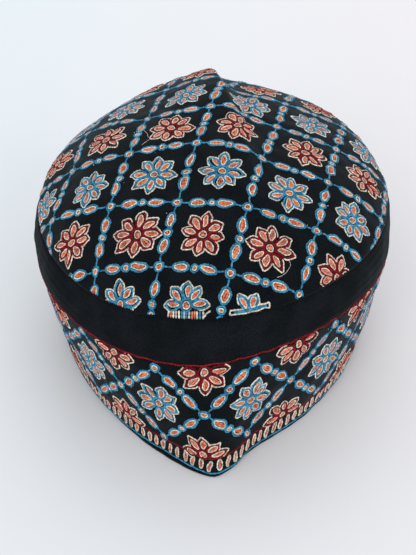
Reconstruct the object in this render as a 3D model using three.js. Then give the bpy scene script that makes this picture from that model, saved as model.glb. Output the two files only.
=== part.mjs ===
import * as THREE from 'three';

// Kashmiri cap: a puffed oval crown on a plain band, over an embroidered band
// that ends in a pointed fold at the front and at the back.
// Millimetres, +Z up. The wearer's front is -Y, +X is to the right seen from the front.
// The cap rests on its rim: z = 0 is the surface, and the origin is under its middle.

// Driving sizes
const WALL = 2;                // quilted cloth, outside to inside
const SEAM_GAP = 0.3;          // between two pieces that are sewn edge to edge
const COLUMNS = 80;            // facets round the cap
const CROWN_RINGS = 12;        // facets from the crown's middle to its seam
const PLAIN_ROWS = 3;
const BAND_ROWS = 4;

// The four lines that run round the cap, seen from above.
// halfX, halfY: half width and half length; point: 1 is an ellipse, 2 a boat with two points;
// z: height; riseX, riseY: tilt in mm per 100 mm; x, y: the line's middle;
// wave: its unevenness in mm, as [cos 2a, sin 2a, cos 3a, sin 3a];
// front: the angle at which the cloth's own front lies; nose: 1 where the front point leans.
const RIM = {
  halfX: 74.6, halfY: 112, point: 1.8, z: 0, riseX: 0, riseY: 0, x: -0.6, y: 0, wave: [0, 0, 0, 0],
  front: -0.1, nose: 1,
};
const RED_LINE = {
  halfX: 81.5, halfY: 99.6, point: 1.26, z: 54.3, riseX: 1.5, riseY: 0.1, x: -0.1, y: -6.1,
  wave: [1.8, 0.6, 0.3, 1.5], front: 0, nose: 0,
};
const SEAM = {
  halfX: 81.1, halfY: 91.4, point: 1.1, z: 68.2, riseX: 1.7, riseY: 5.6, x: 0.2, y: 2.1,
  wave: [0.9, 0.5, 0.3, 0.9], front: 0, nose: 0,
};
const TIP_ROUNDING = 0.26;     // how blunt the points of a boat shape are

// The rim's front point leans this far to +X, and the cloth beyond it is pressed in.
// The reaches and dentAt are angles from the front.
const NOSE = { lean: 3, leanReach: 0.3, dent: 3.6, dentAt: 0.54, dentReach: 0.17 };

// The crown's puff above its seam: its height, and how full its shoulders and flanks are
const CROWN = { puff: 32.3, shoulder: 1.88, flank: 1.52 };

// The soft fold along the crown's middle, which grows to the back. x: where it lies at y = 0;
// slant: how it runs across; from, to: the y where it starts and where it is full;
// blunt: how round its crest is; fade: how late it fades towards the seam.
const FOLD = {
  height: 9.7, leftWidth: 27, rightWidth: 4.5, x: 11.2, slant: -0.205, from: -77, to: 88, blunt: 0.2,
  fade: 6,
};

// How far each band stands out from the straight line between its two edges
const PLAIN_BULGE = 1.5;
const BAND_BULGE = 0.3;

// The rolled strip that binds the rim: height, and thickness beyond the wall on either side
const BINDING = { height: 2, outside: 0.5, inside: 0.5, rounding: 0.7 };

const BLACK_TWILL = { color: 0x1a1d21, roughness: 0.92, metalness: 0 };
const BLACK_COTTON = { color: 0x181b1f, roughness: 0.95, metalness: 0 };
const BLACK_BINDING = { color: 0x15171a, roughness: 0.88, metalness: 0 };

// How far the front point leans to +X, at angle a from the front
function noseLean(a) {
  const fromFront = Math.atan2(Math.sin(a), Math.cos(a));
  const lean = NOSE.lean * Math.exp(-((fromFront / NOSE.leanReach) ** 2));
  const dent = NOSE.dent * Math.exp(-(((fromFront - NOSE.dentAt) / NOSE.dentReach) ** 2));
  return lean - dent;
}

// A point of a line round the cap, at angle a from the front towards +X
function linePoint(line, a) {
  const sine = Math.sin(a);
  const blunt = (sine * sine + TIP_ROUNDING ** 2) / (1 + TIP_ROUNDING ** 2);
  const x = line.halfX * sine * blunt ** ((line.point - 1) / 2);
  const y = -line.halfY * Math.cos(a);
  const [cos2, sin2, cos3, sin3] = line.wave;
  const uneven = cos2 * Math.cos(2 * a) + sin2 * Math.sin(2 * a)
    + cos3 * Math.cos(3 * a) + sin3 * Math.sin(3 * a);
  const z = line.z + (line.riseX * x + line.riseY * y) / 100 + uneven;
  return new THREE.Vector3(x + line.x + line.nose * noseLean(a), y + line.y, z);
}

// Lengths along a line from the cloth's front, at even steps of angle
const LENGTH_STEPS = 1440;
function lengthTable(line) {
  const lengths = [0];
  let last = linePoint(line, line.front);
  for (let i = 1; i <= LENGTH_STEPS; i += 1) {
    const next = linePoint(line, line.front + (2 * Math.PI * i) / LENGTH_STEPS);
    lengths.push(lengths[i - 1] + next.distanceTo(last));
    last = next;
  }
  return lengths;
}

// The point at a given share of a line's length from the cloth's front
function pointAtShare(line, lengths, share) {
  const wanted = (share - Math.floor(share)) * lengths[LENGTH_STEPS];
  let i = 1;
  while (lengths[i] < wanted) i += 1;
  const part = (wanted - lengths[i - 1]) / (lengths[i] - lengths[i - 1]);
  return linePoint(line, line.front + (2 * Math.PI * (i - 1 + part)) / LENGTH_STEPS);
}

const rimLengths = lengthTable(RIM);
const redLengths = lengthTable(RED_LINE);
const seamLengths = lengthTable(SEAM);
const onRim = (share) => pointAtShare(RIM, rimLengths, share);
const onRedLine = (share) => pointAtShare(RED_LINE, redLengths, share);
const onSeam = (share) => pointAtShare(SEAM, seamLengths, share);

// Height of the soft fold over a place on the crown
function foldHeight(x, y) {
  const along = THREE.MathUtils.smoothstep(y, FOLD.from, FOLD.to);
  const across = x - FOLD.x - FOLD.slant * y;
  const width = across < 0 ? FOLD.leftWidth : FOLD.rightWidth;
  return FOLD.height * along * Math.exp(FOLD.blunt - Math.hypot(across / width, FOLD.blunt));
}

// The crown's outside: reach is 0 at its middle and 1 at its seam
function crownPoint(share, reach) {
  const edge = onSeam(share);
  const x = THREE.MathUtils.lerp(SEAM.x, edge.x, reach);
  const y = THREE.MathUtils.lerp(SEAM.y, edge.y, reach);
  const base = THREE.MathUtils.lerp(SEAM.z, edge.z, reach);
  const puff = CROWN.puff * (1 - reach ** CROWN.shoulder) ** (1 / CROWN.flank);
  return new THREE.Vector3(x, y, base + puff + foldHeight(x, y) * (1 - reach ** FOLD.fade));
}

// A band's outside between its upper and lower edge: down is 0 at the top and 1 at the bottom
function bandPoint(top, bottom, line, bulge, down) {
  const point = top.clone().lerp(bottom, down);
  const out = new THREE.Vector3(point.x / line.halfX ** 2, point.y / line.halfY ** 2, 0);
  return point.addScaledVector(out.normalize(), bulge * 4 * down * (1 - down));
}

// The cap's outside as one surface: share runs round the cap from its front, and level runs
// down from 0 at the crown's middle
const SEAM_LEVEL = 1;
const RED_LEVEL = 2;
const RIM_LEVEL = 3;
function outside(share, level) {
  if (level <= SEAM_LEVEL) return crownPoint(share, Math.sin((Math.PI / 2) * level));
  if (level <= RED_LEVEL) {
    return bandPoint(onSeam(share), onRedLine(share), SEAM, PLAIN_BULGE, level - SEAM_LEVEL);
  }
  return bandPoint(onRedLine(share), onRim(share), RED_LINE, BAND_BULGE, level - RED_LEVEL);
}

// The surface's outward direction, averaged over a few millimetres round the cap and along its
// levels, so that it turns softly at the seams
const AVERAGE = { share: 0.004, level: 0.06, nearestMiddle: 0.02 };
function outward(share, level) {
  const right = outside(share + AVERAGE.share, level).sub(outside(share - AVERAGE.share, level));
  const lowest = Math.min(level + AVERAGE.level, RIM_LEVEL);
  const highest = Math.max(level - AVERAGE.level, AVERAGE.nearestMiddle);
  const down = outside(share, lowest).sub(outside(share, highest));
  return down.cross(right).normalize();
}

function inside(share, level) {
  return outside(share, level).addScaledVector(outward(share, level), -WALL);
}

// The level half a seam gap above a seam (towards -1) or below it (towards 1), at one column
function besideSeam(share, level, towards) {
  const step = 0.02 * towards;
  const length = outside(share, level + step).distanceTo(outside(share, level));
  return level + (step * SEAM_GAP) / 2 / length;
}

// Columns: even steps of angle round the rim, so that they crowd at its points
const shares = [];
for (let i = 0; i < COLUMNS; i += 1) {
  shares.push(rimLengths[(LENGTH_STEPS / COLUMNS) * i] / rimLengths[LENGTH_STEPS]);
}

// A closed body from rings of points that follow one another. With two poles it closes in a
// point at either end, and without them its last ring joins its first.
function bodyFromRings(rings, poles) {
  const count = rings[0].length;
  const positions = [];
  for (const ring of rings) for (const p of ring) positions.push(p.x, p.y, p.z);
  const index = [];
  const spans = poles ? rings.length - 1 : rings.length;
  for (let r = 0; r < spans; r += 1) {
    const here = r * count;
    const next = ((r + 1) % rings.length) * count;
    for (let i = 0; i < count; i += 1) {
      const j = (i + 1) % count;
      index.push(here + i, next + i, next + j, here + i, next + j, here + j);
    }
  }
  if (poles) {
    const firstPole = positions.length / 3;
    for (const p of poles) positions.push(p.x, p.y, p.z);
    const lastRing = (rings.length - 1) * count;
    for (let i = 0; i < count; i += 1) {
      const j = (i + 1) % count;
      index.push(firstPole, i, j);
      index.push(firstPole + 1, lastRing + j, lastRing + i);
    }
  }
  const geometry = new THREE.BufferGeometry();
  geometry.setAttribute('position', new THREE.Float32BufferAttribute(positions, 3));
  geometry.setIndex(index);
  geometry.computeVertexNormals();
  return geometry;
}

function piece(name, geometry, look) {
  const mesh = new THREE.Mesh(geometry, new THREE.MeshStandardMaterial(look));
  mesh.name = name;
  return mesh;
}

// Crown: the embroidered top panel, a cup of cloth that is open below
function crown() {
  const outer = [];
  const inner = [];
  for (let r = 1; r <= CROWN_RINGS; r += 1) {
    const last = r === CROWN_RINGS;
    const level = (share) => (last ? besideSeam(share, SEAM_LEVEL, -1) : r / CROWN_RINGS);
    outer.push(shares.map((share) => outside(share, level(share))));
    inner.unshift(shares.map((share) => inside(share, level(share))));
  }
  const top = outside(0, 0);
  const under = top.clone().setZ(top.z - WALL);
  return piece('crown', bodyFromRings([...outer, ...inner], [top, under]), BLACK_TWILL);
}

// A hoop of cloth between two levels of the cap, which may differ from column to column
function hoop(name, rows, from, to, look) {
  const outer = [];
  const inner = [];
  for (let r = 0; r <= rows; r += 1) {
    const level = (share) => THREE.MathUtils.lerp(from(share), to(share), r / rows);
    outer.push(shares.map((share) => outside(share, level(share))));
    inner.unshift(shares.map((share) => inside(share, level(share))));
  }
  return piece(name, bodyFromRings([...outer, ...inner], null), look);
}

// Plain band: black twill between the crown seam and the red line
function plainBand() {
  const start = (share) => besideSeam(share, SEAM_LEVEL, 1);
  const end = (share) => besideSeam(share, RED_LEVEL, -1);
  return hoop('plain_band', PLAIN_ROWS, start, end, BLACK_TWILL);
}

// Embroidered band: from the red line down to the binding, whose top its flat lower edge meets
function embroideredBand() {
  const foot = BINDING.height + SEAM_GAP;
  const start = (share) => besideSeam(share, RED_LEVEL, 1);
  const end = (share) => RIM_LEVEL - foot / onRedLine(share).z;
  const mesh = hoop('embroidered_band', BAND_ROWS, start, end, BLACK_COTTON);
  flattenFoot(mesh.geometry, foot);
  return mesh;
}

// Sets the lowest points of a hoop at one height
function flattenFoot(geometry, height) {
  const position = geometry.getAttribute('position');
  for (let i = 0; i < position.count; i += 1) {
    if (position.getZ(i) < height + WALL / 2) position.setZ(i, height);
  }
}

// Rim binding: a rolled strip with a flat foot that the cap stands on
function rimBinding() {
  const { height, rounding } = BINDING;
  const face = BINDING.outside;
  const rear = -WALL - BINDING.inside;
  const corner = rounding * (1 - Math.SQRT1_2);
  const profile = [
    [face, rounding], [face, height - rounding], [face - corner, height - corner],
    [face - rounding, height], [rear + rounding, height], [rear + corner, height - corner],
    [rear, height - rounding], [rear, rounding], [rear + corner, corner],
    [rear + rounding, 0], [face - rounding, 0], [face - corner, corner],
  ];
  const rings = profile.map(([offset, z]) => shares.map((share) => {
    const foot = onRim(share);
    const normal = outward(share, RIM_LEVEL).setZ(0).normalize();
    return foot.addScaledVector(normal, offset).setZ(z);
  }));
  return piece('rim_binding', bodyFromRings(rings.reverse(), null), BLACK_BINDING);
}

const cap = new THREE.Group();
cap.add(crown(), plainBand(), embroideredBand(), rimBinding());

export default cap;
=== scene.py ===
"""Kashmiri cap: black cloth panels with hand embroidery in chain stitch, on a pale floor.

The cloth and the threads are worked out in millimetres, in the same frame as the solids:
+Z up, the wearer's front at -Y, z = 0 the floor. They are turned to metres when a mesh is made.
"""

import math

import bpy
import numpy as np
from mathutils import Matrix, Vector


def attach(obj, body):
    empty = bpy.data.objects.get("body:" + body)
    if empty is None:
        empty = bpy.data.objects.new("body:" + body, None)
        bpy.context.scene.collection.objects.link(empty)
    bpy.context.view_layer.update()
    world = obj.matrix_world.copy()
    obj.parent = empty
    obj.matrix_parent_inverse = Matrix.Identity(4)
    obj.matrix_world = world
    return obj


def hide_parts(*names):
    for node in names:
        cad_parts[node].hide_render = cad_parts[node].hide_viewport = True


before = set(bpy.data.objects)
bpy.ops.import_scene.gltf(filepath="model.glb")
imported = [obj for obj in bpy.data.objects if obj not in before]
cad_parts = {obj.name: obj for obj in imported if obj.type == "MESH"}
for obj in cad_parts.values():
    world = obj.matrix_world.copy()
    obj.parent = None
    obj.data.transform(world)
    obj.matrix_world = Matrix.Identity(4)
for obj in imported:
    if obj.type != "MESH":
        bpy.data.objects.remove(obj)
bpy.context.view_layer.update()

MM = 0.001

# Cloth
WALL = 2.0
PLAIN_BULGE = 1.5
BAND_BULGE = 0.3
# The rolled binding's height, and how far it stands out of the wall on each side
BINDING = {"height": 2.0, "outside": 0.5, "inside": 0.5}

# The lines round the cap: half sizes, how pointed, height, tilt in mm per 100 mm, middle,
# unevenness as (cos 2a, sin 2a, cos 3a, sin 3a), the angle at which the cloth's own front lies,
# and whether the front point leans
RIM = {
    "half": (74.6, 112.0), "point": 1.8, "z": 0.0, "rise": (0.0, 0.0),
    "middle": (-0.6, 0.0), "wave": (0.0, 0.0, 0.0, 0.0), "front": -0.1, "nose": 1,
}
RED_LINE = {
    "half": (81.5, 99.6), "point": 1.26, "z": 54.3, "rise": (1.5, 0.1),
    "middle": (-0.1, -6.1), "wave": (1.8, 0.6, 0.3, 1.5), "front": 0.0, "nose": 0,
}
SEAM = {
    "half": (81.1, 91.4), "point": 1.1, "z": 68.2, "rise": (1.7, 5.6),
    "middle": (0.2, 2.1), "wave": (0.9, 0.5, 0.3, 0.9), "front": 0.0, "nose": 0,
}
TIP_ROUNDING = 0.26
NOSE = {"lean": 3.0, "lean_reach": 0.3, "dent": 3.6, "dent_at": 0.54, "dent_reach": 0.17}
CROWN = {"puff": 32.3, "shoulder": 1.88, "flank": 1.52}
FOLD = {
    "height": 9.7, "left": 27.0, "right": 4.5, "x": 11.2, "slant": -0.205,
    "start": -77.0, "full": 88.0, "blunt": 0.2, "fade": 6,
}

# The crown's square grid of chains, in millimetres of cloth from the crown's middle, and the
# crossings and flowers that stand clearly off it
GRID = {"cell": 30.3, "across": math.radians(-8.9), "along": math.radians(-12.4),
        "first": (-20.1, -78.8)}
SHIFTS = {(0, 2): (1, 4), (-2, 1): (-3, 3), (-2, 3): (-3, 4), (-1, 3): (0, -3), (1, 3): (2, 1)}
FLOWER_SHIFTS = {(1, 0): (-2, -0.5), (-1, 0): (1.5, -0.5), (-2, 1): (1, -2.5), (2, 2): (2, 1.5),
                 (1, 2): (2, 0.5)}

# The side band's pattern, in millimetres of cloth above the rim
REPEATS = 14
BAND_WIDTH = 55.0
TOP_NODE = 51.9
BOTTOM_NODE = 12.9
LOWER_RED = 10.4
BLUE_EDGE = 2.45
LADDER = {"low": 3.05, "high": 9.75, "pitch": 3.8, "half_width": 0.82, "lean": -0.1}

# How far from a seam the stitches end
CROWN_MARGIN = 0.8
BAND_MARGIN = 0.4

# Stitches: length, height, and three places in each with their widths and heights
STITCH = 1.5
THREAD_HEIGHT = 0.42
LINK_WIDTHS = (0.78, 0.97, 1.04)
LINK_HEIGHTS = (0.8, 1.0, 0.96)

rng = np.random.default_rng(20)


# Shape

def nose_lean(angle):
    """How far the rim's front point leans to +X"""
    from_front = np.arctan2(np.sin(angle), np.cos(angle))
    lean = NOSE["lean"] * np.exp(-((from_front / NOSE["lean_reach"]) ** 2))
    dent = NOSE["dent"] * np.exp(-(((from_front - NOSE["dent_at"]) / NOSE["dent_reach"]) ** 2))
    return lean - dent


def line_point(line, angle):
    """A point of a line round the cap, at an angle from the front towards +X"""
    sine = np.sin(angle)
    blunt = (sine**2 + TIP_ROUNDING**2) / (1 + TIP_ROUNDING**2)
    x = line["half"][0] * sine * blunt ** ((line["point"] - 1) / 2)
    y = -line["half"][1] * np.cos(angle)
    cos2, sin2, cos3, sin3 = line["wave"]
    wave = cos2 * np.cos(2 * angle) + sin2 * np.sin(2 * angle)
    wave = wave + cos3 * np.cos(3 * angle) + sin3 * np.sin(3 * angle)
    z = line["z"] + (line["rise"][0] * x + line["rise"][1] * y) / 100 + wave
    x = x + line["middle"][0] + line["nose"] * nose_lean(angle)
    return np.stack([x, y + line["middle"][1], z], -1)


ANGLES = np.linspace(0, 2 * np.pi, 2881)


def length_table(line):
    """The length of a line from the cloth's front to each of the angles"""
    steps = np.linalg.norm(np.diff(line_point(line, line["front"] + ANGLES), axis=0), axis=1)
    return np.concatenate([[0.0], np.cumsum(steps)])


for cap_line in (RIM, RED_LINE, SEAM):
    cap_line["lengths"] = length_table(cap_line)
RIM_LENGTH = RIM["lengths"][-1]


def on_line(line, share):
    """The point at a share of a line's length from the cloth's front"""
    wanted = (share - np.floor(share)) * line["lengths"][-1]
    return line_point(line, line["front"] + np.interp(wanted, line["lengths"], ANGLES))


def fold_height(x, y):
    """The crown's soft fold: steep on its right, gentle on its left, and higher to the back"""
    along = np.clip((y - FOLD["start"]) / (FOLD["full"] - FOLD["start"]), 0, 1)
    along = along * along * (3 - 2 * along)
    across = x - FOLD["x"] - FOLD["slant"] * y
    width = np.where(across < 0, FOLD["left"], FOLD["right"])
    crest = np.exp(FOLD["blunt"] - np.hypot(across / width, FOLD["blunt"]))
    return FOLD["height"] * along * crest


def crown_point(share, reach):
    """The crown's outside: reach is 0 at its middle and 1 at its seam"""
    edge = on_line(SEAM, share)
    x = SEAM["middle"][0] * (1 - reach) + edge[..., 0] * reach
    y = SEAM["middle"][1] * (1 - reach) + edge[..., 1] * reach
    base = SEAM["z"] * (1 - reach) + edge[..., 2] * reach
    rise = np.clip(1 - reach ** CROWN["shoulder"], 0, 1) ** (1 / CROWN["flank"])
    z = base + CROWN["puff"] * rise + fold_height(x, y) * (1 - reach ** FOLD["fade"])
    return np.stack([x, y, z], -1)


def band_point(top, bottom, line, bulge, down):
    """A point down from 0 to 1 between two lines, with the cloth's bulge"""
    down = np.asarray(down)[..., None]
    point = top * (1 - down) + bottom * down
    half_x, half_y = line["half"]
    flat = np.zeros_like(point[..., 0])
    out = np.stack([point[..., 0] / half_x**2, point[..., 1] / half_y**2, flat], -1)
    out = out / np.linalg.norm(out, axis=-1, keepdims=True)
    return point + out * (bulge * 4 * down * (1 - down))


def unit(vectors):
    length = np.linalg.norm(vectors, axis=-1, keepdims=True)
    return vectors / np.maximum(length, 1e-9)


# The cap's outside as one surface: level runs down from 0 at the crown's middle

SEAM_LEVEL = 1
RED_LEVEL = 2
RIM_LEVEL = 3
SHARE_STEP = 0.002
LEVEL_STEP = 0.03
LEAST_LEVEL = 0.002


def outside(share, level):
    """The point at a share of the way round and at a level"""
    if level <= SEAM_LEVEL:
        return crown_point(share, math.sin(math.pi / 2 * level))
    if level <= RED_LEVEL:
        top, bottom = on_line(SEAM, share), on_line(RED_LINE, share)
        return band_point(top, bottom, SEAM, PLAIN_BULGE, level - SEAM_LEVEL)
    top, bottom = on_line(RED_LINE, share), on_line(RIM, share)
    return band_point(top, bottom, RED_LINE, BAND_BULGE, level - RED_LEVEL)


def outward(share, level):
    """The outward direction, averaged a little so that it turns softly at the seams"""
    right = outside(share + SHARE_STEP, level) - outside(share - SHARE_STEP, level)
    lower = outside(share, min(level + LEVEL_STEP, RIM_LEVEL))
    upper = outside(share, max(level - LEVEL_STEP, LEAST_LEVEL))
    return unit(np.cross(lower - upper, right))


class Crown:
    """The crown as flat cloth: (u, v) in millimetres from its middle, v to the back"""

    shares = np.linspace(0, 1, 361)
    reaches = np.sin(np.linspace(0, math.pi / 2, 161))
    fractions = np.linspace(0, 1, 201)

    def __init__(self):
        """Tables of length from the middle out, and of the direction of each share"""
        points = crown_point(self.shares[:, None], self.reaches[None, :])
        steps = np.linalg.norm(np.diff(points, axis=1), axis=2)
        arcs = np.concatenate([np.zeros((len(steps), 1)), np.cumsum(steps, 1)], 1)
        self.lengths = arcs[:, -1]
        self.reach_at = np.array(
            [np.interp(self.fractions * row[-1], row, self.reaches) for row in arcs]
        )
        edge = on_line(SEAM, self.shares[:-1])
        away = np.arctan2(edge[:, 0] - SEAM["middle"][0], SEAM["middle"][1] - edge[:, 1])
        away = np.unwrap(away)
        self.away = np.append(away, away[0] + 2 * math.pi)

    def place(self, u, v):
        """Share round the cap, distance from the middle, and that of the seam"""
        angle = np.mod(np.arctan2(u, -v), 2 * math.pi)
        share = np.interp(angle, self.away, self.shares)
        return share, np.hypot(u, v), np.interp(share, self.shares, self.lengths)

    def point(self, u, v):
        """The crown's point for a point of cloth, read between the tables' rows"""
        share, radius, edge = self.place(u, v)
        column = share * (len(self.shares) - 1)
        row = np.clip(radius / edge, 0, 1) * (len(self.fractions) - 1)
        c = np.minimum(column.astype(int), len(self.shares) - 2)
        r = np.minimum(row.astype(int), len(self.fractions) - 2)
        a, b = column - c, row - r
        low = self.reach_at[c, r] * (1 - b) + self.reach_at[c, r + 1] * b
        high = self.reach_at[c + 1, r] * (1 - b) + self.reach_at[c + 1, r + 1] * b
        return crown_point(share, low * (1 - a) + high * a)

    def near_seam(self, along, inwards):
        """Cloth coordinates from millimetres along the seam from the front, and in from it"""
        share = np.mod(np.asarray(along) / SEAM["lengths"][-1], 1)
        radius = np.interp(share, self.shares, self.lengths) - inwards
        angle = np.interp(share, self.shares, self.away)
        return np.stack([radius * np.sin(angle), -radius * np.cos(angle)], -1)

    def from_seam(self, u, v):
        _, radius, edge = self.place(u, v)
        return edge - radius

    def inside(self, u, v):
        return self.from_seam(u, v) > CROWN_MARGIN


class SideBand:
    """The embroidered band as flat cloth: u round the rim from the front, v up from the rim"""

    def point(self, u, v):
        share = u / RIM_LENGTH
        top, bottom = on_line(RED_LINE, share), on_line(RIM, share)
        return band_point(top, bottom, RED_LINE, BAND_BULGE, 1 - v / BAND_WIDTH)

    def from_seam(self, u, v):
        return BAND_WIDTH - v

    def inside(self, u, v):
        return (v > BINDING["height"]) & (v < BAND_WIDTH - BAND_MARGIN)


# Unevenness of handmade cloth: sine waves in space

def wave_set(seed, count, shortest, longest):
    """Waves in many directions, with lengths in millimetres between two limits"""
    draw = np.random.default_rng(seed)
    directions = unit(draw.normal(size=(count, 3)))
    lengths = np.exp(draw.uniform(np.log(shortest), np.log(longest), count))
    return directions * (2 * math.pi / lengths)[:, None], draw.uniform(0, 2 * math.pi, count)


def waves(points, wave, strength):
    """The sum of a set of waves at some points; strength is its usual height"""
    rates, phases = wave
    total = np.zeros(points.shape[:-1])
    for rate, phase in zip(rates, phases):
        total += np.sin(points @ rate + phase)
    return total * strength / math.sqrt(len(phases) / 2)


SOFT_DENTS = wave_set(3, 14, 26, 60)
PUCKERS = wave_set(5, 22, 6, 14)
HAND = wave_set(11, 16, 3.5, 9)
DENT_HEIGHT = 0.35
PUCKER_HEIGHT = 0.1
HAND_WANDER = 0.15
ELSEWHERE = 50
SEAM_EASE = 5.0
HEM = {"depth": 0.3, "width": 1.2}


def uneven(points, from_seam):
    """How far the cloth stands out, dying away towards a seam"""
    dents = waves(points, SOFT_DENTS, DENT_HEIGHT) + waves(points, PUCKERS, PUCKER_HEIGHT)
    return dents * np.clip(from_seam / SEAM_EASE, 0, 1)


def hem(from_seam):
    """How far the pressed edge of a panel lies in"""
    return HEM["depth"] * np.clip(1 - from_seam / HEM["width"], 0, 1) ** 2


# Meshes

def make_object(name, vertices, faces, uv, material, shade=None):
    """A piece on the root body; faces and uv are arrays by corner, shade is by vertex"""
    mesh = bpy.data.meshes.new(name)
    polygons = [corners for array in faces for corners in array.tolist()]
    mesh.from_pydata((vertices * MM).tolist(), [], polygons)
    mesh.polygons.foreach_set("use_smooth", [True] * len(polygons))
    layer = mesh.uv_layers.new(name="cloth")
    corner_uv = np.concatenate([array.reshape(-1, 2) for array in uv])
    layer.data.foreach_set("uv", corner_uv.astype(np.float32).ravel())
    if shade is not None:
        attribute = mesh.attributes.new("shade", "FLOAT", "POINT")
        attribute.data.foreach_set("value", shade.astype(np.float32))
    mesh.materials.append(material)
    mesh.update()
    thing = bpy.data.objects.new(name, mesh)
    bpy.context.scene.collection.objects.link(thing)
    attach(thing, "root")
    return thing


def ring_quads(rings, columns, closed):
    """Quads between rings of points; closed joins the last ring to the first"""
    here = np.arange(rings if closed else rings - 1)[:, None] * columns
    there = (here + columns) % (rings * columns)
    i = np.arange(columns)[None, :]
    j = (i + 1) % columns
    return np.stack([here + i, there + i, there + j, here + j], -1).reshape(-1, 4)


def ring_uv(uv, quads, columns, turn):
    """The corners' values; turn is added where a quad closes a ring"""
    corners = uv[quads]
    closing = quads[:, 0] % columns == columns - 1
    corners[closing, 2:, 0] += turn
    return corners


# Materials

def srgb(colour):
    """A screen colour as Blender's linear one"""
    c = np.asarray(colour, float)
    linear = np.where(c <= 0.04045, c / 12.92, ((c + 0.055) / 1.055) ** 2.4)
    return (*linear, 1.0)


SHEEN_ROUGHNESS = 0.35
SHEEN_TINT = (0.8, 0.92, 1.0, 1.0)


class Nodes:
    """A small helper that adds nodes and links them"""

    def __init__(self, name, roughness, specular, sheen):
        self.material = bpy.data.materials.new(name)
        self.material.use_nodes = True
        self.tree = self.material.node_tree
        self.shader = self.tree.nodes["Principled BSDF"]
        self.shader.inputs["Roughness"].default_value = roughness
        self.shader.inputs["Specular IOR Level"].default_value = specular
        self.shader.inputs["Sheen Weight"].default_value = sheen
        self.shader.inputs["Sheen Roughness"].default_value = SHEEN_ROUGHNESS
        self.shader.inputs["Sheen Tint"].default_value = SHEEN_TINT

    def add(self, kind, inputs, output, **settings):
        """An input is a constant or another node's output"""
        node = self.tree.nodes.new(kind)
        for key, value in settings.items():
            setattr(node, key, value)
        for key, value in inputs.items():
            if isinstance(value, bpy.types.NodeSocket):
                self.tree.links.new(value, node.inputs[key])
            else:
                node.inputs[key].default_value = value
        return node.outputs[output]

    def cloth_uv(self):
        return self.add("ShaderNodeUVMap", {}, "UV", uv_map="cloth")

    def split(self, vector, axis):
        return self.add("ShaderNodeSeparateXYZ", {"Vector": vector}, axis)

    def math(self, operation, a, b=0.0):
        return self.add("ShaderNodeMath", {0: a, 1: b}, 0, operation=operation)

    def mixed(self, *parts):
        """A weighted sum of (value, weight) pairs"""
        total = self.math("MULTIPLY", *parts[0])
        for value, weight in parts[1:]:
            inputs = {0: value, 1: weight, 2: total}
            total = self.add("ShaderNodeMath", inputs, 0, operation="MULTIPLY_ADD")
        return total

    def noise(self, vector, scale, detail, roughness=0.5):
        inputs = {"Vector": vector, "Scale": scale, "Detail": detail, "Roughness": roughness}
        return self.add("ShaderNodeTexNoise", inputs, "Fac")

    def smooth(self, value, low, high):
        inputs = {"Value": value, "From Min": low, "From Max": high}
        return self.add("ShaderNodeMapRange", inputs, "Result", interpolation_type="SMOOTHSTEP")

    def colour(self, factor, dark, light, low, high):
        """The base colour, from dark at a factor of low to light at high"""
        ramp = self.tree.nodes.new("ShaderNodeValToRGB")
        self.tree.links.new(factor, ramp.inputs["Fac"])
        for element, place, tint in zip(ramp.color_ramp.elements, (low, high), (dark, light)):
            element.position = place
            element.color = srgb(tint)
        self.tree.links.new(ramp.outputs["Color"], self.shader.inputs["Base Color"])

    def bump(self, height, strength, distance):
        inputs = {"Height": height, "Strength": strength, "Distance": distance}
        normal = self.add("ShaderNodeBump", inputs, "Normal")
        self.tree.links.new(normal, self.shader.inputs["Normal"])


# Cloth: how far lint bends its threads, the weft's threads to a rib, the tones of its dark and
# light colours, and its relief's depth in metres
LINT_BEND = 2.5
WEFT_RATE = 1.2
CLOTH_TONES = (0.3, 0.87)
CLOTH_DEPTH = 0.00015


def cloth_material(name, dark, light, period, chevron, relief, sheen):
    """Matt black cotton: warp and weft, lint and soft patches. period is the width of a rib in
    millimetres, and chevron the height of a row of slanting ribs, or 0 for a plain weave."""
    nodes = Nodes(name, roughness=0.95, specular=0.04, sheen=sheen)
    uv = nodes.cloth_uv()
    u, v = nodes.split(uv, "X"), nodes.split(uv, "Y")
    lint = nodes.noise(uv, scale=1.3, detail=5.0, roughness=0.7)
    patches = nodes.smooth(nodes.noise(uv, scale=0.07, detail=3.0), 0.35, 0.65)
    rate = 2 * math.pi / period
    slant = nodes.math("PINGPONG", v, chevron)
    rib = nodes.math("SINE", nodes.mixed((u, rate), (slant, rate), (lint, LINT_BEND)))
    weft = nodes.math("SINE", nodes.mixed((v, WEFT_RATE * rate), (lint, LINT_BEND)))
    tone = nodes.mixed((rib, 0.1), (weft, 0.05), (lint, 0.95), (patches, 0.14))
    nodes.colour(tone, dark, light, *CLOTH_TONES)
    nodes.bump(nodes.mixed((rib, 0.3), (weft, 0.15), (lint, 0.6)), relief, CLOTH_DEPTH)
    return nodes.material


# Thread: twists in a stitch, in radians along and across it, its tones, and its relief
TWIST = (8 * math.pi, 4.0)
THREAD_TONES = (0.0, 0.84)
THREAD_RELIEF = 0.6
THREAD_DEPTH = 0.0002


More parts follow.
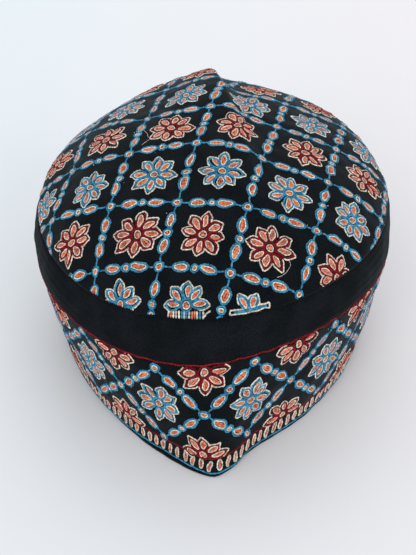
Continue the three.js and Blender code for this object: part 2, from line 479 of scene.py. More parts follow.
def thread_material(name, dark, light, sheen):
    """Cotton chain stitch: two strands side by side that part and meet at each stitch"""
    nodes = Nodes(name, roughness=0.8, specular=0.15, sheen=sheen)
    shade = nodes.add("ShaderNodeAttribute", {}, "Fac", attribute_name="shade",
                      attribute_type="GEOMETRY")
    uv = nodes.cloth_uv()
    along = nodes.split(uv, "X")
    across = nodes.math("ABSOLUTE", nodes.split(uv, "Y"))
    strand = nodes.smooth(across, 0.0, 0.4)
    middle = nodes.math("ABSOLUTE", nodes.math("SUBTRACT", nodes.math("FRACT", along), 0.5))
    joint = nodes.smooth(middle, 0.3, 0.5)
    twist = nodes.math("SINE", nodes.mixed((along, TWIST[0]), (across, TWIST[1])))
    # The tone is darker along the middle line, in the groove between the two strands: painted
    # shade
    tone = nodes.mixed((shade, 0.62), (strand, 0.22), (joint, -0.28), (twist, 0.07))
    nodes.colour(tone, dark, light, *THREAD_TONES)
    height = nodes.mixed((strand, 0.8), (joint, -0.7), (twist, 0.15))
    nodes.bump(height, THREAD_RELIEF, THREAD_DEPTH)
    return nodes.material


# The floor's colours, a quarter of a metre to the left and to the right
FLOOR_LEFT = (0.862, 0.888, 0.9)
FLOOR_RIGHT = (0.906, 0.882, 0.886)


def floor_material():
    """Pale, a little cooler on the left"""
    nodes = Nodes("pale_floor", roughness=0.9, specular=0.1, sheen=0.0)
    place = nodes.add("ShaderNodeNewGeometry", {}, "Position")
    across = nodes.mixed((nodes.split(place, "X"), 2.0), (1.0, 0.5))
    nodes.colour(across, FLOOR_LEFT, FLOOR_RIGHT, 0.0, 1.0)
    return nodes.material


CROWN_CLOTH = cloth_material(
    "crown_cloth", (0.015, 0.024, 0.033), (0.09, 0.105, 0.12),
    period=0.42, chevron=0.0, relief=0.5, sheen=0.13)
TWILL = cloth_material(
    "plain_twill", (0.012, 0.018, 0.026), (0.115, 0.127, 0.142),
    period=0.95, chevron=1.9, relief=0.8, sheen=0.085)
BINDING_CLOTH = cloth_material(
    "binding_cloth", (0.02, 0.023, 0.03), (0.09, 0.098, 0.11),
    period=0.4, chevron=0.0, relief=0.6, sheen=0.1)

# Each thread's dark colour, light colour and sheen
THREADS = {name: thread_material("thread_" + name, *look) for name, look in {
    "cream": ((0.62, 0.58, 0.52), (0.95, 0.925, 0.85), 0.28),
    "blue": ((0.08, 0.315, 0.44), (0.22, 0.59, 0.73), 0.26),
    "crimson": ((0.26, 0.0, 0.035), (0.55, 0.045, 0.09), 0.04),
    "orange": ((0.56, 0.24, 0.17), (0.92, 0.54, 0.41), 0.12),
}.items()}


# Cloth pieces

CROWN_PANEL = Crown()
BAND_PANEL = SideBand()

# The columns of points round the cap, as shares of the rim's length from the front: halfway
# between even in length and even in angle, so closer at the cap's two points
COLUMNS = 400
TURN = np.arange(COLUMNS) / COLUMNS - 0.5
EVEN_ANGLE = np.interp(TURN % 1 * 2 * math.pi, ANGLES, RIM["lengths"])
SHARES = 0.5 * TURN + 0.5 * EVEN_ANGLE / RIM_LENGTH
SHARES = np.where(TURN < 0, SHARES - 0.5, SHARES)

# The crown's rings of points, and how many rings outside there are for one inside
CROWN_RINGS = 110
INNER_STEP = 4


def make_crown():
    """The puffed top panel, with its inside, closed at its middle by fans of triangles"""
    length = np.interp(SHARES % 1, CROWN_PANEL.shares, CROWN_PANEL.lengths)
    away = np.interp(SHARES % 1, CROWN_PANEL.shares, CROWN_PANEL.away)
    direction = np.stack([np.sin(away), -np.cos(away)], -1)
    outer, inner, uv = [], [], []
    before = crown_point(SHARES, 0.0)
    radius = np.zeros(COLUMNS)
    for level in np.linspace(0, 1, CROWN_RINGS + 1)[1:]:
        point = outside(SHARES, level)
        out = outward(SHARES, level)
        radius = radius + np.linalg.norm(point - before, axis=1)
        before = point
        from_seam = np.maximum(length - radius, 0)
        lift = uneven(point, from_seam) - hem(from_seam)
        outer.append(point + out * lift[:, None])
        inner.append(point - out * WALL)
        uv.append(direction * radius[:, None])
    kept = list(range(CROWN_RINGS - 1, -1, -INNER_STEP))
    rings = outer + [inner[k] for k in kept]
    uv = np.concatenate(uv + [uv[k] for k in kept])
    poles = [rings[0].mean(0), rings[-1].mean(0)]
    vertices = np.vstack(rings + poles)
    quads = ring_quads(len(rings), COLUMNS, False)
    i = np.arange(COLUMNS)
    j = (i + 1) % COLUMNS
    last = (len(rings) - 1) * COLUMNS
    pole = np.full(COLUMNS, len(rings) * COLUMNS)
    fans = np.vstack([np.c_[pole, i, j], np.c_[pole + 1, last + j, last + i]])
    uv = np.vstack([uv, np.zeros((2, 2))])
    piece = make_object("crown_panel", vertices, [quads, fans], [uv[quads], uv[fans]],
                        CROWN_CLOTH)
    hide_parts("crown")


# A hoop's top edge runs on under the piece above it
FLAP = {"rise": 0.04, "depth": 1.0}

# The height at which the lowest hoop ends, in the binding
FOOT = BINDING["height"] + 0.1

PLAIN_WIDTH = 18.0
PLAIN_RINGS = 21
SIDE_RINGS = 54


def make_hoop(name, node, levels, width, material, extra=None):
    """A hoop of cloth between two levels of the outside; extra is how far more it stands out"""
    top = levels[0]
    flap = outside(SHARES, top - FLAP["rise"]) - outward(SHARES, top) * FLAP["depth"]
    outer, inner = [flap], [flap]
    uv = [np.stack([SHARES * RIM_LENGTH, np.ones(COLUMNS)], -1)]
    for level in levels:
        point = outside(SHARES, level)
        out = outward(SHARES, level)
        down = (level - top) * width
        below = (RED_LEVEL - level) * width if levels[-1] == RED_LEVEL else width
        from_seam = max(min(down, below), 0)
        lift = uneven(point, from_seam) - hem(from_seam) + (extra(level) if extra else 0)
        outer.append(point + out * lift[:, None])
        inner.append(point - out * WALL)
        uv.append(np.stack([SHARES * RIM_LENGTH, np.full(COLUMNS, -down)], -1))
    kept = range(len(levels), 0, -INNER_STEP)
    rings = np.concatenate(outer + [inner[k] for k in kept])
    if levels[-1] > RED_LEVEL:
        foot = slice(len(levels) * COLUMNS, (len(levels) + 2) * COLUMNS)
        rings[foot, 2] = FOOT
    uv = np.concatenate(uv + [uv[k] for k in kept])
    quads = ring_quads(len(rings) // COLUMNS, COLUMNS, True)
    corners = ring_uv(uv, quads, COLUMNS, RIM_LENGTH)
    piece = make_object(name, rings, [quads], [corners], material)
    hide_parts(node)


# Millimetres round from the front: a crease, and a low lip beside it
CREASE = {"at": -3.0, "width": 2.2, "depth": 0.55, "lip_at": 2.0, "lip_width": 4.0, "lip": 0.35}


def front_crease(level):
    """A soft crease down the plain strip at the front"""
    across = SHARES * RIM_LENGTH
    groove = CREASE["depth"] * np.exp(-(((across - CREASE["at"]) / CREASE["width"]) ** 2))
    lip = CREASE["lip"] * np.exp(-(((across - CREASE["lip_at"]) / CREASE["lip_width"]) ** 2))
    return (lip - groove) * math.sin(math.pi * (level - SEAM_LEVEL))


# The roll: its corners, how round they are (1 is an ellipse), how much fuller it is than the
# solid, the share of its wobble on top, and the cloth from corner to corner
ROLL = {"corners": 16, "roundness": 0.7, "fuller": 0.12, "top_wobble": 0.6, "step": 0.6}
RIM_STEP = 0.004


def make_binding():
    """The rolled binding round the rim"""
    corners = ROLL["corners"]
    right = on_line(RIM, SHARES + RIM_STEP) - on_line(RIM, SHARES - RIM_STEP)
    out = unit(np.cross(right, [0, 0, 1.0]))
    middle = on_line(RIM, SHARES)
    wobble = waves(middle, PUCKERS, PUCKER_HEIGHT)
    half_width = (WALL + BINDING["outside"] + BINDING["inside"]) / 2
    centre = -WALL / 2 + (BINDING["outside"] - BINDING["inside"]) / 2
    half_height = BINDING["height"] / 2 + ROLL["fuller"]
    rings, uv = [], []
    for k in range(corners):
        angle = -2 * math.pi * k / corners
        side = math.copysign(abs(math.cos(angle)) ** ROLL["roundness"], math.cos(angle))
        up = math.copysign(abs(math.sin(angle)) ** ROLL["roundness"], math.sin(angle))
        ring = middle + out * (centre + (half_width + wobble) * side)[:, None]
        ring[:, 2] = half_height * (1 + up) + (wobble * ROLL["top_wobble"] if up > 0.5 else 0)
        rings.append(ring)
        uv.append(np.stack([SHARES * RIM_LENGTH, np.full(COLUMNS, k * ROLL["step"])], -1))
    quads = ring_quads(corners, COLUMNS, True)
    quad_uv = ring_uv(np.concatenate(uv), quads, COLUMNS, RIM_LENGTH)
    piece = make_object("rim_roll", np.concatenate(rings), [quads], [quad_uv], BINDING_CLOTH)
    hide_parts("rim_binding")


make_crown()
make_hoop("plain_strip", "plain_band", np.linspace(SEAM_LEVEL, RED_LEVEL, PLAIN_RINGS),
          PLAIN_WIDTH, TWILL, front_crease)
make_hoop("side_panel", "embroidered_band",
          np.linspace(RED_LEVEL, RIM_LEVEL - FOOT / BAND_WIDTH, SIDE_RINGS),
          BAND_WIDTH, CROWN_CLOTH)
make_binding()


# Embroidery: strokes are lines of stitches on flat cloth

class Cloth:
    """The strokes sewn on one panel, by thread, as (points, closing step, width)"""

    def __init__(self, panel):
        self.panel = panel
        self.strokes = {name: [] for name in THREADS}

    def sew(self, thread, points, width):
        self.strokes[thread].append((np.asarray(points, float), None, width))

    def sew_loop(self, thread, points, width, closing=(0.0, 0.0)):
        self.strokes[thread].append((np.asarray(points, float), closing, width))


def turned(points, angle, centre):
    """Points turned about the origin and then moved to a centre"""
    c, s = math.cos(angle), math.sin(angle)
    return np.asarray(points) @ np.array([[c, s], [-s, c]]) + centre


LEAF_POINTS = 30


def leaf(start, end, half_width, sharp=1.15, swell=0.0):
    """A closed pointed oval along +x, from start to end; swell moves its width outwards"""
    t = np.linspace(0, 2 * math.pi, LEAF_POINTS, endpoint=False)
    sine = np.sin(t)
    x = start + (end - start) * (1 - np.cos(t)) / 2
    y = half_width * np.sign(sine) * np.abs(sine) ** sharp * (1 - swell * np.cos(t))
    return np.stack([x, y], -1)


# A flower of radius 10 mm: each petal is an orange ring in a cream ring in a coloured ring
DRAWN_RADIUS = 10
PETALS = 8
PETAL = {"start": 2.3, "end": 9.1, "half": 1.88, "thread": 0.98}
PETAL_CREAM = {"start": 3.2, "end": 8.3, "half": 1.1, "thread": 0.68}
PETAL_ORANGE = {"start": 3.9, "end": 7.7, "half": 0.38, "thread": 0.9}
PETAL_SHARP = 1.38
PETAL_SWELL = 0.2
PETAL_SPREAD = {"angle": 0.055, "long": 0.055, "wide": 0.06, "bend": 0.05}
OUTLINE = ((5.8, 2.4), (7.3, 2.5), (8.8, 1.55), (10.4, 0.08))
OUTLINE_THREAD = 0.7
EYE = {"round": 2.35, "thread": 0.75, "long": 1.6, "wide": 1.35, "cream": 0.64,
       "reach": 1.05, "aside": 0.4, "orange": 1.05}

# The petals of a half flower, and those of all
UPPER_PETALS = range(5)
ALL_PETALS = range(PETALS)


def petals(cloth, centre, thread, radius, rotation, keep):
    """Petals with a cream outline; keep names those that are sewn"""
    scale = radius / DRAWN_RADIUS
    for k in ALL_PETALS:
        angle = rotation + k * 2 * math.pi / PETALS + rng.normal(0, PETAL_SPREAD["angle"])
        long = scale * (1 + rng.normal(0, PETAL_SPREAD["long"]))
        wide = scale * (1 + rng.normal(0, PETAL_SPREAD["wide"]))
        bend = rng.normal(0, PETAL_SPREAD["bend"])
        if k not in keep:
            continue
        for name, part, lean in (
            (thread, PETAL, 0), ("cream", PETAL_CREAM, bend), ("orange", PETAL_ORANGE, bend)
        ):
            loop = leaf(part["start"] * scale, part["end"] * long, part["half"] * wide,
                        PETAL_SHARP, PETAL_SWELL)
            cloth.sew_loop(name, turned(loop, angle + lean, centre), part["thread"])
        for side in (-1, 1):
            outline = [(x * long, side * y * wide) for x, y in OUTLINE]
            cloth.sew("cream", turned(outline, angle, centre), OUTLINE_THREAD)


def flower(cloth, centre, thread, radius, rotation, keep=ALL_PETALS):
    """Petals round an eye: a coloured ring, a cream one in it and two orange lines"""
    petals(cloth, centre, thread, radius, rotation, keep)
    scale = radius / DRAWN_RADIUS
    spin = rng.uniform(0, math.pi)
    for name, long, wide, width in (
        (thread, EYE["round"], EYE["round"], EYE["thread"]),
        ("cream", EYE["long"], EYE["wide"], EYE["cream"]),
    ):
        ring = leaf(-long * scale, long * scale, wide * scale, 1.0)
        cloth.sew_loop(name, turned(ring, spin, centre), width)
    for aside in (-EYE["aside"], EYE["aside"]):
        line = [(-EYE["reach"], aside), (EYE["reach"], aside)]
        cloth.sew("orange", turned(line, spin, centre), EYE["orange"])


# A chain's ovals: half length and half width of the blue rings, how much they vary, how far in
# the cream rings lie from those and the orange ones from these, and the least orange one
LONG_OVAL = (3.75, 1.98)
SMALL_OVAL = (1.7, 1.72)
NODE_OVAL = (2.05, 1.85)
OVAL_SPREAD = {"long": 0.04, "wide": 0.05, "tilt": 0.08}
CREAM_IN = (0.78, 0.74)
ORANGE_IN = (0.7, 0.86)
LEAST_CORE = (0.3, 0.25)
BLUE_THREAD = 0.9
CREAM_THREAD = 0.72
ORANGE_THREAD = 1.06

# The orange line in an oval too short for a ring: half its length, and its width
SHORT_CORE = {"reach": 0.5, "thread": 0.95}


def oval(cloth, centre, angle, size):
    """Orange in cream in blue"""
    long = size[0] * (1 + rng.normal(0, OVAL_SPREAD["long"]))
    wide = size[1] * (1 + rng.normal(0, OVAL_SPREAD["wide"]))
    tilt = angle + rng.normal(0, OVAL_SPREAD["tilt"])
    cloth.sew_loop("blue", turned(leaf(-long, long, wide), tilt, centre), BLUE_THREAD)
    inner, narrow = long - CREAM_IN[0], wide - CREAM_IN[1]
    cloth.sew_loop("cream", turned(leaf(-inner, inner, narrow), tilt, centre), CREAM_THREAD)
    core, slim = inner - ORANGE_IN[0], narrow - ORANGE_IN[1]
    if core > LEAST_CORE[0]:
        loop = leaf(-core, core, max(slim, LEAST_CORE[1]))
        cloth.sew_loop("orange", turned(loop, tilt, centre), ORANGE_THREAD)
    else:
        line = [(-SHORT_CORE["reach"], 0), (SHORT_CORE["reach"], 0)]
        cloth.sew("orange", turned(line, tilt, centre), SHORT_CORE["thread"])


# A chain's ovals grow with it up to a limit, and stand a little off their places
MOST_GROWTH = 1.06
OVAL_WANDER = 0.12

# The blue links: width, where they start in a node's blue line, how far they run on, their bow
LINK = {"thread": 0.85, "start": 0.3, "overlap": 0.8, "bow": 0.15}

# Tiny ends of thread: the share of chains with one, where along and how far off, length, width,
# and the share that is cream
END = {"share": 0.5, "along": (0.15, 0.85), "off": 3.0, "length": 0.3, "thread": 0.42,
       "cream": 0.65}


def chain(cloth, start, end, length):
    """The ovals between two nodes, joined by short blue links; length is a usual chain's"""
    start, end = np.asarray(start, float), np.asarray(end, float)
    way = end - start
    real = np.linalg.norm(way)
    angle = math.atan2(way[1], way[0])
    scale = min(real / length, MOST_GROWTH)
    gap = (real - 2 * NODE_OVAL[0] - scale * (4 * LONG_OVAL[0] + 2 * SMALL_OVAL[0])) / 2
    gap -= 1.5 * BLUE_THREAD
    middles = np.array([-1, 0, 1]) * scale * (LONG_OVAL[0] + SMALL_OVAL[0] + BLUE_THREAD / 2)
    for middle, size in zip(middles, (LONG_OVAL, SMALL_OVAL, LONG_OVAL)):
        place = start + way * (0.5 + middle / real) + rng.normal(0, OVAL_WANDER, 2)
        oval(cloth, place, angle, (size[0] * scale, size[1]))
    for node, towards in ((start, 1), (end, -1)):
        near = NODE_OVAL[0] + BLUE_THREAD * LINK["start"]
        far = near + gap + LINK["overlap"]
        ends = [node + towards * way / real * reach for reach in (near, far)]
        bow = (ends[0] + ends[1]) / 2 + rng.normal(0, LINK["bow"], 2)
        cloth.sew("blue", [ends[0], bow, ends[1]], LINK["thread"])
    if rng.uniform() < END["share"]:
        thread_end(cloth, start + way * rng.uniform(*END["along"]))


def thread_end(cloth, centre):
    """A tiny end of thread beside a motif"""
    angle = rng.uniform(0, 2 * math.pi)
    place = centre + END["off"] * np.array([math.cos(angle), math.sin(angle)])
    thread = "cream" if rng.uniform() < END["cream"] else "orange"
    cloth.sew(thread, [place, place + rng.normal(0, END["length"], 2)], END["thread"])


def node_oval(cloth, centre):
    """The round oval where chains meet"""
    oval(cloth, centre, rng.uniform(0, math.pi), NODE_OVAL)


def grid_point(i, j):
    """A crossing of the crown's grid, i across and j along it"""
    cell = GRID["cell"]
    across, along = GRID["across"], GRID["along"]
    return np.array([
        GRID["first"][0] + cell * (i * math.cos(across) - j * math.sin(along)),
        GRID["first"][1] + cell * (i * math.sin(across) + j * math.cos(along)),
    ]) + SHIFTS.get((i, j), (0, 0))


# At the front the seam cuts the first row of flowers: one stands on a row of cut ends, which
# a wedge ends, and one on a strip. Places are millimetres along the seam and in from it.
BARS = {"from": -15.0, "to": -1.2, "low": 0.85, "high": 3.9, "thread": 0.9}
BAR_THREADS = ("cream orange cream cream cream blue cream blue "
               "cream orange orange cream blue cream").split()
WEDGE = {"along": (-1.0, 0.0, 1.8), "inwards": (1.6, 3.0, 4.2), "thread": 0.8}
STRIP_OVER = (1, -1)
STRIP = {"from": 9.5, "to": 25.4, "low": 1.3, "high": 3.1, "cream": 0.8, "blue": 1.3,
         "points": 12}
STRIP_FLOWER = {"left": 0.7, "foot": 0.6, "radius": 9.0, "petals": range(2)}


def seam_bars(cloth):
    """The row of cut ends"""
    for thread, along in zip(BAR_THREADS, np.linspace(BARS["from"], BARS["to"], len(BAR_THREADS))):
        ends = cloth.panel.near_seam([along, along], [BARS["low"], BARS["high"]])
        cloth.sew(thread, ends, BARS["thread"])
    wedge = cloth.panel.near_seam(WEDGE["along"], WEDGE["inwards"])
    cloth.sew("cream", wedge, WEDGE["thread"])


def seam_strip(cloth):
    """The blue strip in a cream line, with two petals on it"""
    low, high = STRIP["low"], STRIP["high"]
    along = np.linspace(STRIP["from"], STRIP["to"], STRIP["points"])
    edge = np.concatenate([along, along[::-1]])
    depth = np.where(np.arange(len(edge)) < len(along), low, high)
    cloth.sew_loop("cream", cloth.panel.near_seam(edge, depth), STRIP["cream"])
    middle = cloth.panel.near_seam(along[1:-1], (low + high) / 2)
    cloth.sew("blue", middle, STRIP["blue"])
    halfway = (STRIP["from"] + STRIP["to"]) / 2
    centre = cloth.panel.near_seam(halfway - STRIP_FLOWER["left"], STRIP_FLOWER["foot"])
    rotation = math.atan2(-centre[1], -centre[0]) - math.pi / PETALS
    petals(cloth, centre, "blue", STRIP_FLOWER["radius"], rotation, STRIP_FLOWER["petals"])


# Loose ends of thread on the crown, thin and curved
LOOSE = (((32.4, -74.6), (33.9, -75.2), (34.7, -76.3), (34.8, -77.6), (34.1, -79.1),
          (32.8, -80.7), (31.1, -82.2), (29.2, -83.5)),
         ((-31.3, 1.9), (-28.2, -6.1)), ((-31.4, -11.0), (-27.8, -7.4)))
LOOSE_WIDTH = 0.24

# The crown's flowers: radius, and how much it, their places and their turn vary
CROWN_FLOWER = {"radius": 10.1, "size": 0.03, "wander": 0.3, "turn": 0.06}

# The cells whose flowers the seam cuts in a way of its own: radius, turn and petals
CUT_FLOWERS = {(-1, -1): (9.9, -0.1, ALL_PETALS), (0, -1): (9.9, -0.03, UPPER_PETALS)}

# The cells that may reach the crown, and how far past it their crossing may lie
CELLS_ACROSS = range(-4, 7)
CELLS_ALONG = range(-2, 8)
PAST_SEAM = 22


def embroider_crown():
    """The grid of chains with rows of flowers in turn crimson and blue"""
    cloth = Cloth(CROWN_PANEL)
    reach = CROWN_PANEL.lengths.max() + PAST_SEAM
    for j in CELLS_ALONG:
        for i in CELLS_ACROSS:
            here, right, back = grid_point(i, j), grid_point(i + 1, j), grid_point(i, j + 1)
            if np.hypot(*here) > reach:
                continue
            node_oval(cloth, here)
            chain(cloth, here, right, GRID["cell"])
            chain(cloth, here, back, GRID["cell"])
            thread = "crimson" if j % 2 == 0 else "blue"
            centre = (here + right + back + grid_point(i + 1, j + 1)) / 4
            centre = centre + FLOWER_SHIFTS.get((i, j), (0, 0))
            centre = centre + rng.normal(0, CROWN_FLOWER["wander"], 2)
            radius = CROWN_FLOWER["radius"] * (1 + rng.normal(0, CROWN_FLOWER["size"]))
            rotation = GRID["along"] + rng.normal(0, CROWN_FLOWER["turn"])
            look = CUT_FLOWERS.get((i, j), (radius, rotation, ALL_PETALS))
            if (i, j) != STRIP_OVER:
                flower(cloth, centre, thread, *look)
    seam_bars(cloth)
    seam_strip(cloth)
    for line in LOOSE:
        cloth.sew("cream", line, LOOSE_WIDTH)
    return cloth


# The band's repeats whose lower crossing stands off the line, and whose flower is wide
LOWER_SHIFTS = {6: -1.3, 7: 1.3}
WIDE_FLOWERS = {6: 10.8}

# The flowers in the diamonds: radius, and how much it and their turn vary
BAND_FLOWER = {"radius": 10.2, "size": 0.03, "turn": 0.3}

# The half flowers at the top and on the lower red line: radius, height, turn
HALF_FLOWERS = ((10.2, BAND_WIDTH - 2.7, -math.pi), (9.6, LOWER_RED + 1.4, math.radians(3)))
HALF_WANDER = 0.4

# The ladder's ovals: how much their place, height and lean vary, how far in from the ladder's
# edge the cream ring ends and from that the orange line, and the width of that line
RUNG = {"round": 0.15, "up": 0.12, "lean": 0.06, "cream_in": 0.36, "orange_in": 0.7,
        "orange": 1.05}


def embroider_band():
    """The diamonds with their flowers and half flowers, and the ladder under them"""
    cloth = Cloth(BAND_PANEL)
    period = RIM_LENGTH / REPEATS
    middle = (TOP_NODE + BOTTOM_NODE) / 2
    edge = math.hypot(period / 2, (TOP_NODE - BOTTOM_NODE) / 2)
    for k in range(REPEATS):
        centre = (k - REPEATS // 2) * period
        half = centre + period / 2
        node_oval(cloth, (centre, middle))
        node_oval(cloth, (half, TOP_NODE))
        node_oval(cloth, (half, BOTTOM_NODE + LOWER_SHIFTS.get(k, 0)))
        for side, low in ((-1, k - 1), (1, k)):
            far = centre + side * period / 2
            chain(cloth, (centre, middle), (far, TOP_NODE), edge)
            chain(cloth, (centre, middle), (far, BOTTOM_NODE + LOWER_SHIFTS.get(low, 0)), edge)
        radius = WIDE_FLOWERS.get(k, BAND_FLOWER["radius"])
        radius = radius * (1 + rng.normal(0, BAND_FLOWER["size"]))
        rotation = rng.uniform(-BAND_FLOWER["turn"], BAND_FLOWER["turn"])
        flower(cloth, (half, middle), "blue", radius, rotation)
        for size, height, turn in HALF_FLOWERS:
            place = (centre + rng.normal(0, HALF_WANDER), height)
            flower(cloth, place, "crimson", size, turn, UPPER_PETALS)
    low, high = LADDER["low"], LADDER["high"]
    half = (high - low) / 2 - RUNG["cream_in"]
    core = half - RUNG["orange_in"]
    steps = round(RIM_LENGTH / LADDER["pitch"])
    for k in range(steps):
        u = (k + 0.5 - steps / 2) * RIM_LENGTH / steps + rng.normal(0, RUNG["round"])
        lean = rng.normal(math.pi / 2 + LADDER["lean"], RUNG["lean"])
        centre = (u, (low + high) / 2 + rng.normal(0, RUNG["up"]))
        loop = leaf(-half, half, LADDER["half_width"])
        cloth.sew_loop("cream", turned(loop, lean, centre), CREAM_THREAD)
        cloth.sew("orange", turned([(-core, 0), (core, 0)], lean, centre), RUNG["orange"])
    return cloth


# The lines round the band: points, waves in a turn, and a slower wave's rate
LINE_POINTS = 400
LINE_WAVES = 9
LINE_RATE = 0.031


def line_round(cloth, thread, height, width, wander):
    """A line of stitches all the way round the band"""
    u = np.linspace(-0.5, 0.5, LINE_POINTS, endpoint=False) * RIM_LENGTH
    wave = wander * np.sin(u * 2 * math.pi * LINE_WAVES / RIM_LENGTH)
    v = height + wave * np.sin(u * LINE_RATE)
    cloth.sew_loop(thread, np.stack([u, v], -1), width, (RIM_LENGTH, 0.0))


# From strokes to stitches

def by_hand(points):
    """Shifts points a little, as a hand does"""
    spot = np.concatenate([points, np.zeros((len(points), 1))], -1)
    across = waves(spot, HAND, HAND_WANDER)
    along = waves(spot + ELSEWHERE, HAND, HAND_WANDER)
    return points + np.stack([across, along], -1)


# The places in a stitch, how much their widths and heights vary, and the share of these that
# is left at a line's two ends
PLACES = len(LINK_WIDTHS)
PLACE_SPREAD = {"width": 0.05, "height": 0.06}
LINE_END = {"width": 0.7, "height": 0.5}


def places_along(points, closing):
    """Places along a line, some for each stitch, and the stitch that each is in"""
    if closing is not None:
        points = np.vstack([points, points[:1] + closing])
    lengths = np.concatenate([[0], np.cumsum(np.linalg.norm(np.diff(points, axis=0), axis=1))])
    stitches = max(round(lengths[-1] / STITCH), 1)
    if closing is not None:
        stitches = max(2 * round(lengths[-1] / STITCH / 2), 4)
    stitch = np.arange(PLACES * stitches + 1) / PLACES
    at = stitch * lengths[-1] / stitches
    return np.stack([np.interp(at, lengths, points[:, c]) for c in (0, 1)], -1), stitch


def lay_out(cloth, thread):
    """Every place on one thread's strokes; step: it runs on from here, last: it came to here"""
    rows = []
    start = 0
    for points, closing, width in cloth.strokes[thread]:
        line, stitch = places_along(points, closing)
        line = by_hand(line)
        if closing is None:
            ahead = np.gradient(line, axis=0)
        else:
            line, stitch = line[:-1], stitch[:-1]
            ahead = np.roll(line, -1, 0) - np.roll(line, 1, 0)
            ahead[[0, -1]] += closing
        count = len(line)
        link = np.arange(count) % PLACES
        wide = np.take(LINK_WIDTHS, link) * (1 + rng.normal(0, PLACE_SPREAD["width"], count))
        tall = np.take(LINK_HEIGHTS, link) * (1 + rng.normal(0, PLACE_SPREAD["height"], count))
        inside = cloth.panel.inside(line[:, 0], line[:, 1])
        if closing is None:
            wide[[0, -1]] *= LINE_END["width"]
            tall[[0, -1]] *= LINE_END["height"]
        elif any(closing):
            inside[:] = True
        step = inside & np.roll(inside, -1)
        if closing is None:
            step[-1] = False
        tones = rng.uniform(0, 1, count // PLACES + 1)
        rows.append({
            "place": line, "ahead": ahead, "stitch": stitch, "step": step,
            "width": width * wide, "height": min(width, 1) * THREAD_HEIGHT * tall,
            "shade": np.repeat(tones, PLACES)[:count], "last": np.roll(step, 1),
            "next": start + (np.arange(count) + 1) % count,
        })
        start += count
    return {name: np.concatenate([row[name] for row in rows]) for name in rows[0]}


# A stitch's cross-section, and the values across it for its material
ACROSS = np.array([-0.5, -0.24, 0.24, 0.5])
UP = np.array([-0.3, 0.94, 0.94, -0.3])
UV_ACROSS = np.array([-1.0, -0.48, 0.48, 1.0])
SIDES = len(ACROSS)

# How far each way the cloth's slope is measured
SLOPE_STEP = 0.6


def make_stitches(cloth, name, thread):
    """All the stitches of one thread on one panel, as one mesh of closed tubes"""
    rows = lay_out(cloth, thread)
    panel = cloth.panel
    u, v = rows["place"].T
    point = panel.point(u, v)
    along = panel.point(u + SLOPE_STEP, v) - panel.point(u - SLOPE_STEP, v)
    up = panel.point(u, v + SLOPE_STEP) - panel.point(u, v - SLOPE_STEP)
    out = unit(np.cross(along, up))
    ahead = unit(rows["ahead"])
    side = unit(np.cross(out, along * ahead[:, :1] + up * ahead[:, 1:]))
    centre = point + out * uneven(point, panel.from_seam(u, v))[:, None]
    wide = (rows["width"][:, None] * ACROSS)[..., None]
    tall = (rows["height"][:, None] * UP)[..., None]
    vertices = (centre[:, None] + side[:, None] * wide + out[:, None] * tall).reshape(-1, 3)

    a = np.flatnonzero(rows["step"])
    b = rows["next"][a]
    k = np.arange(SIDES)
    n = (k + 1) % SIDES
    p, q = SIDES * a[:, None], SIDES * b[:, None]
    quads = np.stack([p + k, q + k, q + n, p + n], -1).reshape(-1, 4)
    here = np.repeat(rows["stitch"][a][:, None], SIDES, 1)
    there = here + 1 / PLACES
    low = np.broadcast_to(UV_ACROSS[k], here.shape)
    high = np.broadcast_to(UV_ACROSS[n], here.shape)
    quad_uv = np.stack([here, low, there, low, there, high, here, high], -1).reshape(-1, 4, 2)
    starts = np.flatnonzero(rows["step"] & ~rows["last"])
    ends = np.flatnonzero(rows["last"] & ~rows["step"])
    caps = np.concatenate([SIDES * starts[:, None] + k, SIDES * ends[:, None] + k[::-1]])
    cap_uv = np.broadcast_to([0.0, 1.0], (*caps.shape, 2))

    used = np.zeros(len(vertices), bool)
    used[quads] = True
    index = np.cumsum(used) - 1
    shade = np.repeat(rows["shade"], SIDES)
    make_object(name, vertices[used], [index[quads], index[caps]], [quad_uv, cap_uv],
                THREADS[thread], shade[used])


crown_work = embroider_crown()
band_work = embroider_band()
line_round(band_work, "crimson", BAND_WIDTH + 0.1, width=0.7, wander=0.2)
line_round(band_work, "crimson", LOWER_RED, width=0.85, wander=0.15)
line_round(band_work, "blue", BLUE_EDGE, width=0.85, wander=0.1)
for thread in THREADS:
    make_stitches(crown_work, "crown_stitches_" + thread, thread)
    make_stitches(band_work, "band_stitches_" + thread, thread)


# Floor, light and camera, in metres

FLOOR_REACH = 3.0
SOFTNESS = 0.75
WORLD = {"colour": (0.93, 0.965, 1.0, 1.0), "strength": 0.86}

# Each light's direction, strength and colour
LIGHTS = {
    "key": ((-0.45, -1.1, 0.5), 1.02, (1.0, 0.985, 0.97)),
    "fill": ((0.85, -0.85, 0.42), 0.74, (1.0, 0.96, 0.94)),
    "back": ((0.1, 0.9, 1.0), 0.62, (0.95, 0.98, 1.0)),
}

# The camera: its distance and target are in millimetres
IMAGE_WIDTH = 416
SENSOR_WIDTH = 36
CAMERA = {
    "focal_px": 809.2, "distance": 409.9, "elevation": math.radians(37.4),
    "azimuth": math.radians(2.77), "roll": math.radians(-1.4), "target": (-2.95, 0.0, 16.96),
}


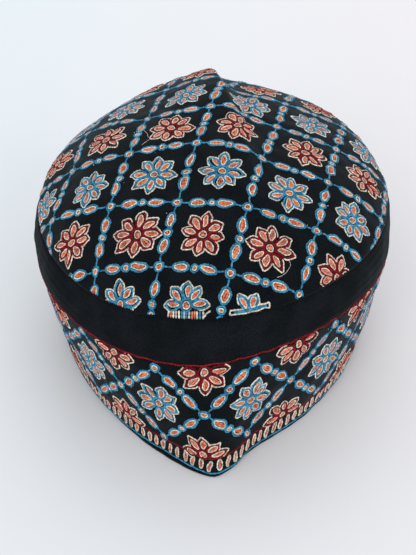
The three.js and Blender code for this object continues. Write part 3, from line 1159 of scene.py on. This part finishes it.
def make_floor():
    mesh = bpy.data.meshes.new("floor")
    signs = ((-1, -1), (1, -1), (1, 1), (-1, 1))
    corners = [(x * FLOOR_REACH, y * FLOOR_REACH, 0) for x, y in signs]
    mesh.from_pydata(corners, [], [(0, 1, 2, 3)])
    mesh.materials.append(floor_material())
    floor = bpy.data.objects.new("floor", mesh)
    bpy.context.scene.collection.objects.link(floor)


def soft_light(name, place, power, colour):
    """Soft light from a place's direction, even over the whole floor"""
    data = bpy.data.lights.new(name, "SUN")
    data.angle = SOFTNESS
    data.energy = power
    data.color = colour
    light = bpy.data.objects.new(name, data)
    light.rotation_euler = Vector(place).to_track_quat("Z", "Y").to_euler()
    bpy.context.scene.collection.objects.link(light)


def make_world():
    world = bpy.data.worlds.new("studio")
    world.use_nodes = True
    background = world.node_tree.nodes["Background"]
    background.inputs["Color"].default_value = WORLD["colour"]
    background.inputs["Strength"].default_value = WORLD["strength"]
    bpy.context.scene.world = world


def make_camera():
    """The camera at the photo's angle"""
    e, a, roll = CAMERA["elevation"], CAMERA["azimuth"], CAMERA["roll"]
    back = Vector((math.sin(a) * math.cos(e), -math.cos(a) * math.cos(e), math.sin(e)))
    right = Vector((math.cos(a), math.sin(a), 0))
    up = back.cross(right)
    turned_right = right * math.cos(roll) + up * math.sin(roll)
    turned_up = up * math.cos(roll) - right * math.sin(roll)
    matrix = Matrix((turned_right, turned_up, back)).transposed().to_4x4()
    matrix.translation = (Vector(CAMERA["target"]) + back * CAMERA["distance"]) * MM
    data = bpy.data.cameras.new("camera")
    data.sensor_fit = "HORIZONTAL"
    data.sensor_width = SENSOR_WIDTH
    data.lens = CAMERA["focal_px"] * data.sensor_width / IMAGE_WIDTH
    data.clip_start = 0.01
    camera = bpy.data.objects.new("camera", data)
    camera.matrix_world = matrix
    bpy.context.scene.collection.objects.link(camera)
    bpy.context.scene.camera = camera


make_floor()
make_world()
for light, look in LIGHTS.items():
    soft_light(light, *look)
make_camera()
bpy.context.scene.view_settings.view_transform = "Standard"
